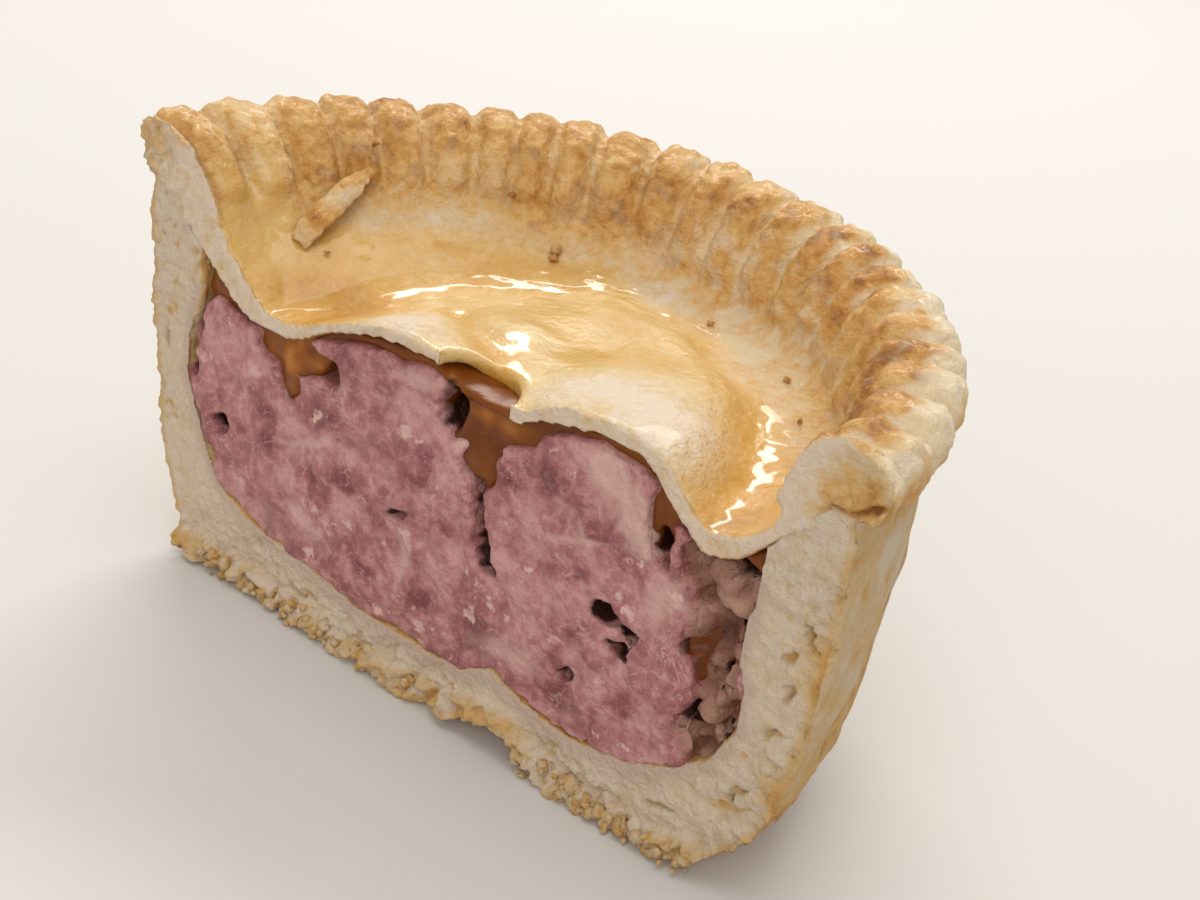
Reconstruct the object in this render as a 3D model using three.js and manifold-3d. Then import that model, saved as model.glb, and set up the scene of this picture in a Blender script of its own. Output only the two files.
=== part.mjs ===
// Half of a raised pork pie, standing on its base. A straight knife cut down the middle leaves a
// flat face towards -Y, where the four layers show: the pastry case, the pork filling, the set
// jelly round it, and the pastry lid, whose edge is crimped over the top of the case.
//
// Every layer is a turned outline, worked out in [radius, height] for each angle round the pie's
// axis, because a hand-raised pie is a little different all the way round. Angle 0 is the right
// end of the cut face, and half a turn is its left end. Units are millimetres, and +Z is up.

import * as THREE from "three";
import { mergeVertices } from "three/addons/utils/BufferGeometryUtils.js";
import Module from "manifold-3d";

// Driving sizes of the whole pie.
const RIM_RADIUS = 50; // to the outside of the crimped lip
const HEIGHT = 52.3; // from the board to the top of the crimped edge, at the right end
const GAP = 0.3; // left between neighbouring layers
const JELLY_GAP = 0.45; // over the lumpy filling, whose facets lie across the jelly's

// The case: a flat foot, a rounded bottom edge and a wall that leans out a little.
const FOOT_RADIUS = { right: 36, left: 39 };
const WALL_FOOT = { radius: 45.8, height: 14 }; // where the rounded edge ends
const WALL_TOP = { radius: RIM_RADIUS - 2.7, height: 44.6 };
const FLOOR = 6.6;
const FLOOR_CURVE = { from: 24, out: 15, up: 15.2 };
const SKIRT = { out: 1.8, height: 2.6 }; // crumbly foot of the case, left proud by the knife
const SEAT_INNER = { radius: 38.6, height: 38.8 }; // where the lid first meets the case

// The lid: a thin sheet that sags in a ring inside the rim and rises over the filling.
const LID_THICKNESS = 2.3;
const LID_UNDERSIDE = 39.9; // in the middle of the pie
const LID_EDGE = 36; // where the thin sheet runs into the rim
const RING = { right: 32, left: 27.5 }; // radius of the lowest part of the sag
const RING_WIDTH = { right: 4.8, left: 7.6 };
const RING_SAG = 4.9;
const STEAM_HOLE = { x: 2.8, radius: 4.8 };

// The crimped edge: rounded lobes pressed into a thick rim.
const RIM_CENTRE = { radius: RIM_RADIUS - 4.7, height: HEIGHT - 5.1 };
const RIM_HALF = { across: 4.7, up: 5.1 };
const LOBE_FOOT = { radius: 39.6, height: 43.2 }; // where a lobe ends, inside the rim
const LEFT_RISE = 1.2; // the rim stands this much higher at the left end
const CRIMPS = 24; // in half a turn
const CRIMP_STEPS = 3; // facets across one lobe
const CRIMP_START = 1 / 3; // how far across a lobe the knife meets it at the right end
const CRIMP_DEPTH = 1.5;

// The filling stops short of the wall, and jelly fills what is left.
const SHOULDER = 3; // rounding at the filling's upper edge
const JELLY_FOOT = 15; // the jelly reaches down the wall to here
const JELLY_SKIN = 1.7; // from the lid down to the filling, gaps and all
const SIDE_SKIN = 3; // from the wall in to the filling, gaps and all
const SIDE_POCKET = { depth: 4.2, spread: 0.45 }; // deeper at the right end, spread in radians
const LEDGE = 1.1; // from the wall to the filling just below the jelly's foot

// Where the lid and the jelly under it swell or sink: [x, y, change of height, spread].
const LID_SWELLS = [
  [21, 2, 1.6, 6.0],
  [8.5, 0, -0.9, 3.5],
  [-6, 9, 1.2, 7.0],
  [6, 24, -1.0, 8.0],
];
const JELLY_POCKETS = [
  [-23, 0, 3.0, 6.0],
  [4.5, 1, 5.0, 4.0],
  [28, 4, 2.0, 4.0],
  [2, 20, 2.0, 6.0],
];

const HALF_TURN = Math.PI;
const STEPS_ROUND = 36; // facets round half a turn of a plain layer
const SPARE_STEPS = 10; // coarse facets round the half that is cut away

const { lerp, smoothstep, degToRad } = THREE.MathUtils;

const wasm = await Module();
wasm.setup();

// 0 at the right end of the cut face, 1 at its left end.
const leftness = (angle) => (1 - Math.cos(angle)) / 2;

// How far out of round the whole pie is at an angle, as a factor on every radius.
const outOfRound = (angle) =>
  1 + 0.004 * Math.sin(3 * angle + 0.4) + 0.003 * Math.sin(7 * angle + 1);

// The sum of smooth bumps at a point.
const bumps = (list, x, y) =>
  list.reduce(
    (sum, [cx, cy, rise, spread]) =>
      sum + rise * Math.exp(-((x - cx) ** 2 + (y - cy) ** 2) / spread ** 2),
    0,
  );

// The height of the lid's underside.
function lidUnderside(radius, angle) {
  const left = leftness(angle);
  const ring = lerp(RING.right, RING.left, left);
  const width = lerp(RING_WIDTH.right, RING_WIDTH.left, left);
  const sag = RING_SAG * Math.exp(-(((radius - ring) / width) ** 2));
  const swell = bumps(LID_SWELLS, radius * Math.cos(angle), radius * Math.sin(angle));
  const free = 1 - smoothstep(radius, 30, SEAT_INNER.radius); // no swelling at the seat
  return LID_UNDERSIDE - sag + swell * free;
}

// The height of the filling's upper face, under its skin of jelly.
function fillingTop(radius, angle) {
  const x = radius * Math.cos(angle);
  const y = radius * Math.sin(angle);
  const lumps = 0.7 * (1 + Math.sin(x / 3.1 + 1) * Math.cos(y / 4.3));
  const depth = JELLY_SKIN + lumps + bumps(JELLY_POCKETS, x, y);
  return lidUnderside(radius, angle) - depth;
}

// The radius of the case's inner wall, above the curve that joins it to the floor.
function innerWall(height, angle) {
  const low = FLOOR_CURVE.from + FLOOR_CURVE.out;
  const above = smoothstep(height, FLOOR + FLOOR_CURVE.up, SEAT_INNER.height);
  const thinner = 1.2 * leftness(angle) * (1 - above); // the wall is thinner on the left
  return lerp(low, SEAT_INNER.radius, above) + thinner;
}

// The radius of the filling's side, above the foot of the jelly.
const fillingSide = (angle) =>
  innerWall(JELLY_FOOT, angle) -
  SIDE_SKIN -
  SIDE_POCKET.depth * Math.exp(-((angle / SIDE_POCKET.spread) ** 2));

// A flat face's edge, which leaves it at [radius, height] and curves up through out and up.
// Fullness 1 makes it a quarter of an ellipse, and a smaller one brings it nearer a chamfer.
function turnedUp(radius, height, out, up, fullness, steps) {
  return Array.from({ length: steps + 1 }, (_, i) => {
    const a = (degToRad(90) * i) / steps;
    const rise = lerp(i / steps, 1 - Math.cos(a), fullness);
    return [radius + out * lerp(i / steps, Math.sin(a), fullness), height + up * rise];
  });
}

// The rounded inside of the case, from its axis to the top of its curve.
function floorOutline(angle) {
  const { from, up } = FLOOR_CURVE;
  const out = innerWall(FLOOR + up, angle) - from;
  return [[0, FLOOR], ...turnedUp(from, FLOOR, out, up, 1, 4)];
}

function caseOutline(angle) {
  const foot = lerp(FOOT_RADIUS.right, FOOT_RADIUS.left, leftness(angle));
  const edge = turnedUp(foot, 0, WALL_FOOT.radius - foot, WALL_FOOT.height, 0.7, 5);
  const outside = [[0, 0], ...edge];
  const wall = [0.5, 1].map((t) => [
    lerp(WALL_FOOT.radius, WALL_TOP.radius, t),
    lerp(WALL_FOOT.height, WALL_TOP.height, t),
  ]);
  const inside = floorOutline(angle);
  const upper = [28, 33].map((height) => [innerWall(height, angle), height]);
  inside.push(...upper, [SEAT_INNER.radius, SEAT_INNER.height]);
  return [...outside, ...wall, ...inside.reverse()];
}

// How far out, from the axis to the edge, the broad faces of the layers are worked out.
const ACROSS = [0, 0.08, 0.16, 0.26, 0.38, 0.5, 0.61, 0.7, 0.78, 0.86, 0.93, 1];

// Points along a broad face, out to a radius.
const broadFace = (edge, heightAt, angle) =>
  ACROSS.map((t) => [t * edge, heightAt(t * edge, angle)]);

// 0 at the bottom of the groove between two lobes, 1 along the middle of a lobe.
function lobe(angle) {
  const across = ((angle * CRIMPS) / HALF_TURN + CRIMP_START) % 1;
  const fromMiddle = 2 * Math.abs(across - 0.5);
  return Math.sqrt(Math.max(1 - fromMiddle ** 2, 0));
}

function lidOutline(angle) {
  const under = broadFace(LID_EDGE, lidUnderside, angle);
  const seat = [
    [SEAT_INNER.radius, SEAT_INNER.height + GAP],
    [WALL_TOP.radius, WALL_TOP.height + GAP],
  ];
  const groove = CRIMP_DEPTH * (1 - lobe(angle));
  const lip = [lerp(WALL_TOP.radius, RIM_RADIUS, 0.5), WALL_TOP.height + 1.2];
  const middle = RIM_CENTRE.height + LEFT_RISE * leftness(angle);
  const arc = [8, 35, 65, 95, 125, 155, 182].map((degrees) => {
    const a = degToRad(degrees);
    return [
      RIM_CENTRE.radius + (RIM_HALF.across - groove) * Math.cos(a),
      middle + (RIM_HALF.up - groove) * Math.sin(a),
    ];
  });
  const rim = [lip, ...arc, [LOBE_FOOT.radius + groove, LOBE_FOOT.height]];
  const top = under.map(([r, z]) => [r, z + LID_THICKNESS]);
  return [...under, ...seat, ...rim, ...top.reverse()];
}

function fillingOutline(angle) {
  const side = fillingSide(angle);
  const floor = floorOutline(angle);
  const top = broadFace(side - SHOULDER, fillingTop, angle);
  return [
    ...floor.slice(0, -2).map(([r, z]) => [Math.max(r - GAP, 0), z + GAP]),
    [floor.at(-2)[0] - LEDGE, JELLY_FOOT],
    [side, JELLY_FOOT],
    [side, top.at(-1)[1] - SHOULDER],
    ...top.reverse(),
  ];
}

function jellyOutline(angle) {
  const side = fillingSide(angle);
  const under = broadFace(side - SHOULDER, fillingTop, angle);
  const curve = floorOutline(angle).slice(-2);
  const wall = [28, 33, SEAT_INNER.height - GAP].map((z) => [innerWall(z, angle), z]);
  const top = broadFace(LID_EDGE, lidUnderside, angle);
  return [
    ...under.map(([r, z]) => [r, z + JELLY_GAP]),
    [side + GAP, under.at(-1)[1] - SHOULDER + GAP],
    [side + GAP, JELLY_FOOT + GAP],
    ...[...curve, ...wall].map(([r, z]) => [r - GAP, z]),
    ...top.map(([r, z]) => [r, z - GAP]).reverse(),
  ];
}

// A whole turned layer: fine round the half that is kept, and coarse round the other, which
// keeps the outline of angle 0.
function turned(outlineAt, steps) {
  const fine = Array.from({ length: steps + 1 }, (_, i) => (HALF_TURN * i) / steps);
  const coarse = Array.from(
    { length: SPARE_STEPS },
    (_, i) => HALF_TURN + (HALF_TURN * (i + 1)) / (SPARE_STEPS + 1),
  );
  const angles = [...fine, ...coarse, 0];
  const first = outlineAt(0).map(([r, z]) => new THREE.Vector2(r, z));
  const geometry = new THREE.LatheGeometry(first, angles.length - 1);
  const position = geometry.attributes.position;
  angles.forEach((angle, i) => {
    outlineAt(angle > HALF_TURN ? 0 : angle).forEach(([radius, height], j) => {
      const r = radius * outOfRound(angle);
      const z = radius === 0 ? first[j].y : height; // one height on the axis itself
      position.setXYZ(i * first.length + j, r * Math.cos(angle), r * Math.sin(angle), z);
    });
  });
  return geometry;
}

// A closed geometry as a solid that can be cut.
function solid(geometry) {
  const bare = geometry.clone();
  bare.deleteAttribute("normal");
  bare.deleteAttribute("uv");
  const merged = mergeVertices(bare, 1e-4);
  const triangles = Array.from({ length: merged.index.count / 3 }, (_, i) =>
    Array.from(merged.index.array.slice(3 * i, 3 * i + 3)),
  );
  const whole = triangles.filter((corners) => new Set(corners).size === 3); // none on the axis
  const triVerts = new Uint32Array(whole.flat());
  const vertProperties = merged.attributes.position.array;
  return new wasm.Manifold(new wasm.Mesh({ numProp: 3, vertProperties, triVerts }));
}

function geometryOf(cut) {
  const { vertProperties, triVerts } = cut.getMesh();
  const geometry = new THREE.BufferGeometry();
  geometry.setAttribute("position", new THREE.BufferAttribute(vertProperties, 3));
  geometry.setIndex(new THREE.BufferAttribute(triVerts, 1));
  geometry.computeVertexNormals();
  return geometry;
}

// Everything behind a plane y = front, and below a height.
function blockBehind(front, height) {
  const reach = 2 * RIM_RADIUS;
  const block = new THREE.BoxGeometry(2 * reach, reach, 2 * reach);
  block.translate(0, front + reach / 2, height - reach);
  return solid(block);
}

function steamHole() {
  const { x, radius } = STEAM_HOLE;
  const plug = new THREE.CylinderGeometry(radius, radius, HEIGHT, 24);
  plug.rotateX(degToRad(90));
  plug.translate(x, 0, HEIGHT);
  return solid(plug);
}

function layer(name, shape, colour, roughness) {
  const material = new THREE.MeshStandardMaterial({ color: colour, roughness, metalness: 0 });
  const mesh = new THREE.Mesh(geometryOf(shape), material);
  mesh.name = name;
  return mesh;
}

// The knife leaves everything behind the plane y = 0, and the case's crumbly foot in front of it.
const half = blockBehind(0, 2 * RIM_RADIUS);
const halfWithFoot = half.add(blockBehind(-SKIRT.out, SKIRT.height));
const cut = (outlineAt, steps) => solid(turned(outlineAt, steps)).intersect(half);
const pastryCase = solid(turned(caseOutline, STEPS_ROUND)).intersect(halfWithFoot);
const lid = cut(lidOutline, CRIMPS * CRIMP_STEPS).subtract(steamHole());

const layers = [
  layer("pastry_case", pastryCase, 0xc99a62, 0.85),
  layer("pork_filling", cut(fillingOutline, STEPS_ROUND), 0xb07474, 0.5),
  layer("jelly", cut(jellyOutline, STEPS_ROUND), 0x7a4a22, 0.2),
  layer("pastry_lid", lid, 0xdfb463, 0.35),
];

// The part's origin is on the board, under the middle of its bounding box.
const pie = new THREE.Group();
pie.add(...layers);
const box = new THREE.Box3().setFromObject(pie);
const middle = box.getCenter(new THREE.Vector3());
pie.position.set(-middle.x, -middle.y, 0);

const part = new THREE.Group();
part.add(pie);

export default part;
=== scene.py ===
import math
import random

import bmesh
import bpy
import numpy as np
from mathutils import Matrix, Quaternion, Vector


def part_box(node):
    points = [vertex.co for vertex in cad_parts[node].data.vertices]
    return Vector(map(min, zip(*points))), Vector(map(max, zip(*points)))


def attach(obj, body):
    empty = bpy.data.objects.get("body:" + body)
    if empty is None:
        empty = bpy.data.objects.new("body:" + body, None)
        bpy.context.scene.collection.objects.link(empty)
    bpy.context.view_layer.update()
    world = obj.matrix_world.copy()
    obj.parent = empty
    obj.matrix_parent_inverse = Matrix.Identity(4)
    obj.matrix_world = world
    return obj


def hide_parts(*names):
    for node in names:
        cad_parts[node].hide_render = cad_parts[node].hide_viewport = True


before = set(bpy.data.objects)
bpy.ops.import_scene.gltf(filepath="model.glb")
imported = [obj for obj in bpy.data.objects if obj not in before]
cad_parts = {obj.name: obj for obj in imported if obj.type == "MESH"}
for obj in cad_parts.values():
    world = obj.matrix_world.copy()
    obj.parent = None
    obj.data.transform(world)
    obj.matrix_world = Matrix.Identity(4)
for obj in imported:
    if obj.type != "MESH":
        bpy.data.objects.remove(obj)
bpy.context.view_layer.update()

# ---- The table, the light and the camera -------------------------------------------------
# The half pie stands on a plain pale table. A long soft window behind it makes the glaze shine,
# a wide light hangs over it, and a fill in front keeps the cut face readable. All in metres.

TABLE_WIDTH = 4
TABLE_COLOUR = (0.64, 0.62, 0.59, 1)
TABLE_ROUGHNESS = 0.8
ROOM_COLOUR = (1.0, 0.985, 0.965, 1)
ROOM_STRENGTH = 0.50
CAMERA_AT = (0.104, -0.1408, 0.1191)
CAMERA_AIM = (0.002, 0.0, 0.0245)
CAMERA_ROLL = 8  # degrees
SENSOR_WIDTH, LENS = 36, 53  # mm

bpy.context.scene.view_settings.view_transform = "Standard"

table = bpy.data.objects.new("table", bpy.data.meshes.new("table"))
flat = bmesh.new()
bmesh.ops.create_grid(flat, x_segments=1, y_segments=1, size=TABLE_WIDTH / 2)
flat.to_mesh(table.data)
flat.free()
bpy.context.scene.collection.objects.link(table)
table_paint = bpy.data.materials.new("table_paint")
table_paint.use_nodes = True
painted = table_paint.node_tree.nodes["Principled BSDF"].inputs
painted["Base Color"].default_value = TABLE_COLOUR
painted["Roughness"].default_value = TABLE_ROUGHNESS
table.data.materials.append(table_paint)

room = bpy.data.worlds.new("room")
bpy.context.scene.world = room
room.use_nodes = True
room_light = room.node_tree.nodes["Background"].inputs
room_light["Color"].default_value = ROOM_COLOUR
room_light["Strength"].default_value = ROOM_STRENGTH


def soft_light(name, at, aim, width, height, power, colour):
    lamp = bpy.data.lights.new(name, "AREA")
    lamp.shape = "RECTANGLE"
    lamp.size = width
    lamp.size_y = height
    lamp.energy = power
    lamp.color = colour
    stand = bpy.data.objects.new(name, lamp)
    stand.location = at
    stand.rotation_euler = (Vector(aim) - Vector(at)).to_track_quat("-Z", "Y").to_euler()
    bpy.context.scene.collection.objects.link(stand)


soft_light("window", (-0.30, 0.42, 0.50), (0, 0, 0.03), 0.60, 0.10, 3.2, (1.0, 0.97, 0.93))
soft_light("ceiling", (0.1, -0.05, 0.95), (0, 0, 0.03), 0.8, 0.6, 3.2, (1.0, 0.98, 0.95))
soft_light("front_fill", (0.35, -0.7, 0.5), (0, 0, 0.02), 0.7, 0.5, 2.4, (1.0, 0.97, 0.94))

camera = bpy.data.objects.new("camera", bpy.data.cameras.new("camera"))
bpy.context.scene.collection.objects.link(camera)
bpy.context.scene.camera = camera
camera.location = CAMERA_AT
aim = Vector(CAMERA_AIM) - Vector(CAMERA_AT)
roll = Quaternion((0, 0, 1), math.radians(CAMERA_ROLL))
camera.rotation_euler = (aim.to_track_quat("-Z", "Y") @ roll).to_euler()
camera.data.sensor_width = SENSOR_WIDTH
camera.data.lens = LENS

# ---- The pastry case ----------------------------------------------------------------------
# The hot-water crust that was raised by hand into a flat-based cup, and baked until its
# outside was golden. The knife leaves a short, crumbly face, and a ragged foot along the base.
# Sizes are in millimetres round the pie's own axis; angle 0 is the right end of the cut.

AXIS = Vector((-0.2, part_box("pork_filling")[0].y * 1000, 0))  # mm, in the frame
CUT = 0.45  # the knife's plane lies this far behind the frame's cut face
FOOT_FRONT = -1.75  # the ragged foot stands out to here
FOOT_HEIGHT = 3.4

CASE_RIGHT = [
    (0, 0), (12, 0), (24, 0), (36, 0.2), (38.6, 2.4), (41.2, 5.4), (43.6, 8.6), (45.0, 12),
    (45.8, 16.5), (46.4, 22), (46.9, 29), (47.1, 36), (47.3, 42), (47.0, 45.8), (43.5, 45.6),
    (40.5, 42.5), (38.6, 39.2), (38.3, 34.8), (38.1, 31), (37.7, 27.3), (38.8, 23.6),
    (39.0, 19.1), (36.8, 14.2), (31.8, 10.3), (27.5, 8.4), (20, 6.9), (14.5, 7.6), (9, 9.3),
    (4.5, 7), (0, 6.8),
]
CASE_LEFT = [
    (0, 0), (13, 0), (26, 0), (39.6, 0.2), (41.2, 1.9), (42.3, 4.3), (43.6, 7.4), (44.9, 11),
    (45.5, 16), (46.2, 22), (46.8, 29), (47.1, 36), (47.3, 42), (46.8, 46.2), (43.3, 46.4),
    (40.4, 43.5), (38.5, 40.2), (38.2, 34.6), (39.4, 31), (40.2, 27.3), (40.3, 24.0),
    (38.9, 20.4), (36.9, 15.6), (34.6, 11.6), (29.5, 9.2), (22, 8.2), (17, 7.8), (11, 6.6),
    (5, 6.5), (0, 6.8),
]
CASE_WALL_TOP = 17  # points from here on are the inside of the case
CASE_OUTSIDE = slice(3, 14)  # and these are its outside, from the base up
CASE_STEPS = 120  # facets round half a turn, before the fine skin
CASE_CELL = 0.53  # width of a face of the fine skin
# Ovals on the cut face are given as centre across and up, half width, half height, and tilt
# in degrees. These are the holes in the cut wall and floor, sunk and darkened with painted shade.
CASE_HOLES = [
    (43.1, 29.4, 1.1, 0.35, 60), (44.7, 32.4, 1.3, 0.3, -50), (43.8, 25.6, 0.35, 1.1, 10),
    (42.8, 20.8, 1.0, 0.35, 30), (40.6, 12.4, 1.3, 0.3, 50), (32.0, 5.6, 1.9, 0.25, 12),
    (-44.2, 27.0, 0.25, 1.1, 0), (-20.0, 4.2, 1.8, 0.25, -5),
]
HOLE_DEPTH = 0.9
# Lumps are given as height, size across and seed.
SKIN_LUMPS = [(0.50, 9, 4), (0.26, 3.4, 5), (0.16, 1.5, 6)]
SKIN_SHRINK = 0.2
CRATER_SIZE = 3.1
# Where the base stands clear of the table: height, and how it starts and ends across the cut.
BASE_NOTCHES = [(3.3, (-2.5, 12.0), (16.5, 13.0)), (0.5, (-14, -18), (-30, -24))]
BASE_END_LIFT = (1.5, (33, 41))


def between(right, left, turn):
    """The outline part of the way round, from the right end of the cut to the left."""
    share = (1 - math.cos(turn)) / 2
    return [
        (a[0] + (b[0] - a[0]) * share, a[1] + (b[1] - a[1]) * share) for a, b in zip(right, left)
    ]


def half_turned(name, outline_at, steps):
    """A closed half turn of an outline of (radius, height), cut flat at both ends."""
    shape = bmesh.new()
    number = shape.verts.layers.int.new("number")
    line = [shape.verts.new((r, 0, z)) for r, z in outline_at(0)]
    for i, point in enumerate(line):
        point[number] = i
    edges = [shape.edges.new(pair) for pair in zip(line, line[1:])]
    bmesh.ops.spin(
        shape, geom=line + edges, cent=(0, 0, 0), axis=(0, 0, 1), angle=math.pi, steps=steps
    )
    outlines = [outline_at(math.pi * i / steps) for i in range(steps + 1)]
    for point in shape.verts:
        step = round(math.atan2(max(point.co.y, 0), point.co.x) * steps / math.pi)
        r, z = outlines[step][point[number]]
        turn = math.pi * step / steps
        point.co = (r * math.cos(turn), r * math.sin(turn), z)
    bmesh.ops.remove_doubles(shape, verts=shape.verts, dist=1e-4)
    rim = [edge for edge in shape.edges if edge.is_boundary]
    face = bmesh.ops.contextual_create(shape, geom=rim)["faces"]
    bmesh.ops.triangulate(shape, faces=face)
    bmesh.ops.recalc_face_normals(shape, faces=shape.faces)
    mesh = bpy.data.meshes.new(name)
    shape.to_mesh(mesh)
    shape.free()
    piece = bpy.data.objects.new(name, mesh)
    bpy.context.scene.collection.objects.link(piece)
    return piece


def finished(piece):
    """Applies the piece's modifiers to its mesh."""
    depsgraph = bpy.context.evaluated_depsgraph_get()
    piece.data = bpy.data.meshes.new_from_object(piece.evaluated_get(depsgraph))
    piece.modifiers.clear()


def fine_skin(piece, size):
    """Gives the piece an even mesh whose faces are about a size across."""
    skin = piece.modifiers.new("skin", "REMESH")
    skin.mode = "VOXEL"
    skin.voxel_size = size
    skin.use_smooth_shade = True
    finished(piece)


def points_of(piece):
    """The places of the piece's points, one row for each."""
    flat_list = np.empty(len(piece.data.vertices) * 3)
    piece.data.vertices.foreach_get("co", flat_list)
    return flat_list.reshape(-1, 3)


def outward_of(piece):
    """The direction that points straight out of the piece at each of its points."""
    flat_list = np.empty(len(piece.data.vertices) * 3)
    piece.data.vertices.foreach_get("normal", flat_list)
    return flat_list.reshape(-1, 3)


def move_to(piece, points):
    piece.data.vertices.foreach_set("co", points.ravel())
    piece.data.update()


def note(piece, name, values):
    """Keeps a number from 0 to 1 at each point of the piece, for its material."""
    kept = piece.data.attributes.new(name, "FLOAT", "POINT")
    kept.data.foreach_set("value", np.clip(values, 0, 1).astype(np.float32))


def ease(value, start, end):
    """0 up to start and 1 from end on, smooth between."""
    t = np.clip((value - start) / (end - start), 0, 1)
    return t * t * (3 - 2 * t)


def scattered(cell):
    """A fixed random number from 0 to 1 for each row of whole numbers."""
    mixed = cell[:, 0] * 73856093 ^ cell[:, 1] * 19349663 ^ cell[:, 2] * 83492791
    mixed = (mixed ^ (mixed >> 13)) * 1274126177
    return ((mixed ^ (mixed >> 16)) & 0xFFFF) / 65535


def lumps(points, size, seed):
    """Soft random lumps of about a size, from -1 to 1."""
    at = points / size + seed * 17.3
    cell = np.floor(at).astype(np.int64)
    part = at - cell
    part = part * part * (3 - 2 * part)
    total = np.zeros(len(points))
    for corner in range(8):
        step = np.array([corner & 1, corner >> 1 & 1, corner >> 2 & 1])
        share = np.prod(np.where(step, part, 1 - part), axis=1)
        total += share * (2 * scattered(cell + step) - 1)
    return total


def mixed(points, parts):
    """Lumps of several heights, sizes and seeds, added together."""
    return sum(height * lumps(points, size, seed) for height, size, seed in parts)


def clumps(points, size, seed):
    """How far each point is from the nearest of scattered centres, in sizes, and a random
    number for that centre."""
    at = points / size + seed * 11.7
    cell = np.floor(at).astype(np.int64)
    nearest = np.full(len(points), 9.0)
    chosen = np.zeros(len(points))
    for corner in range(27):
        near = cell + np.array([corner % 3 - 1, corner // 3 % 3 - 1, corner // 9 - 1])
        centre = near + np.stack([scattered(near + 31 * k) for k in (1, 2, 3)], axis=1)
        away = np.linalg.norm(at - centre, axis=1)
        closer = away < nearest
        nearest = np.where(closer, away, nearest)
        chosen = np.where(closer, scattered(near + 7), chosen)
    return nearest, chosen


def distance_to(line, across, height):
    """The distance from flat points to a line of corners."""
    least = np.full(len(across), 99.0)
    for (ax, az), (bx, bz) in zip(line, line[1:]):
        length = (bx - ax) ** 2 + (bz - az) ** 2
        t = np.clip(((across - ax) * (bx - ax) + (height - az) * (bz - az)) / length, 0, 1)
        away = np.hypot(across - ax - t * (bx - ax), height - az - t * (bz - az))
        least = np.minimum(least, away)
    return least


def inside(x, z, blobs, softness, seed):
    """1 inside any of the ovals, 0 outside, with uneven edges."""
    flat_points = np.stack([x, z, np.zeros(len(x))], axis=1)
    uneven = 0.22 * lumps(flat_points, 2.2, seed) + 0.16 * lumps(flat_points, 0.9, seed + 1)
    most = np.zeros(len(x))
    for cx, cz, half_width, half_height, tilt in blobs:
        turn = math.radians(tilt)
        along = (x - cx) * math.cos(turn) + (z - cz) * math.sin(turn)
        up = (z - cz) * math.cos(turn) - (x - cx) * math.sin(turn)
        away = np.hypot(along / half_width, up / half_height) + uneven
        most = np.maximum(most, ease(away, 1 + softness, 1 - softness))
    return most


def crumb_relief(x, z, roughness):
    """How far back the cut pastry lies, and from 0 to 1 how much painted shade its gaps get."""
    flat_points = np.stack([x, z * 1.2, np.zeros(len(x))], axis=1)
    bent = flat_points + 0.5 * np.stack([lumps(flat_points, 1.9, k) for k in (1, 2, 4)], axis=1)
    bent[:, 2] = 0
    away, pick = clumps(bent, 1.7, 3)
    small_away = clumps(bent, 0.85, 5)[0]
    loose = 0.35 + 0.65 * ease(lumps(flat_points, 7, 6), -0.3, 0.3)
    relief = 0.22 * lumps(flat_points, 3.1, 7) + 0.75 * loose * (away - 0.55) * (0.5 + pick)
    relief += 0.45 * loose * (small_away - 0.5)
    return relief * roughness, ease(relief, 0.18, 0.5)


def into_frame(piece):
    """Brings a piece from millimetres round the pie's axis into the frame."""
    points = points_of(piece)
    points[:, 1] = np.maximum(points[:, 1], FOOT_FRONT)
    points[:, 2] = np.maximum(points[:, 2], 0)
    move_to(piece, (points + np.array(AXIS)) / 1000)


case = half_turned("pie_case", lambda turn: between(CASE_RIGHT, CASE_LEFT, turn), CASE_STEPS)
fine_skin(case, CASE_CELL)
shape = bmesh.new()
shape.from_mesh(case.data)
cut_edges = [
    edge
    for edge in shape.edges
    if any(f.normal.y < -0.5 and f.calc_center_median().y < 0.6 for f in edge.link_faces)
]
bmesh.ops.subdivide_edges(shape, edges=cut_edges, cuts=1, use_grid_fill=True)
shape.to_mesh(case.data)
shape.free()
p = points_of(case)
n = outward_of(case)
x, y, z = p.T
radius = np.hypot(x, y)
face = ease(-n[:, 1], 0.4, 0.8) * ease(y, 0.6, 0.2)  # 1 on the cut face

inner_right = CASE_RIGHT[CASE_WALL_TOP:]
inner_left = [(-r, h) for r, h in CASE_LEFT[CASE_WALL_TOP:]]
to_filling = np.minimum(distance_to(inner_right, x, z), distance_to(inner_left, x, z))
outer_left = [(-r, h) for r, h in CASE_LEFT[CASE_OUTSIDE]]
to_skin = np.minimum(
    distance_to(CASE_RIGHT[CASE_OUTSIDE], x, z), distance_to(outer_left, x, z)
)

# The outside: slow swells, and small craters that are deeper near the base.
outside = (1 - face) * ease(radius, 30, 40) * ease(np.hypot(n[:, 0], n[:, 1]), 0.2, 0.6)
low = ease(z, 14, 3)
swell = mixed(p, SKIN_LUMPS) - SKIN_SHRINK
away, pick = clumps(p, CRATER_SIZE, 7)
craters = np.where(pick > 0.6, ease(away, 0.5, 0.2), 0)
swell -= (0.35 + 0.8 * low) * craters
p += n * (outside * swell)[:, None]

# The base stands clear of the table in shallow notches at the cut, and at its right end.
notch = BASE_END_LIFT[0] * ease(x, *BASE_END_LIFT[1])
for rise, start, end in BASE_NOTCHES:
    notch += rise * ease(x, *start) * ease(x, *end)
lifted = ease(z, 5.5, 0.5) * ease(y, 7, 0)
p[:, 2] += lifted * notch * (1 + 0.3 * lumps(p, 2.0, 8))

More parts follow.
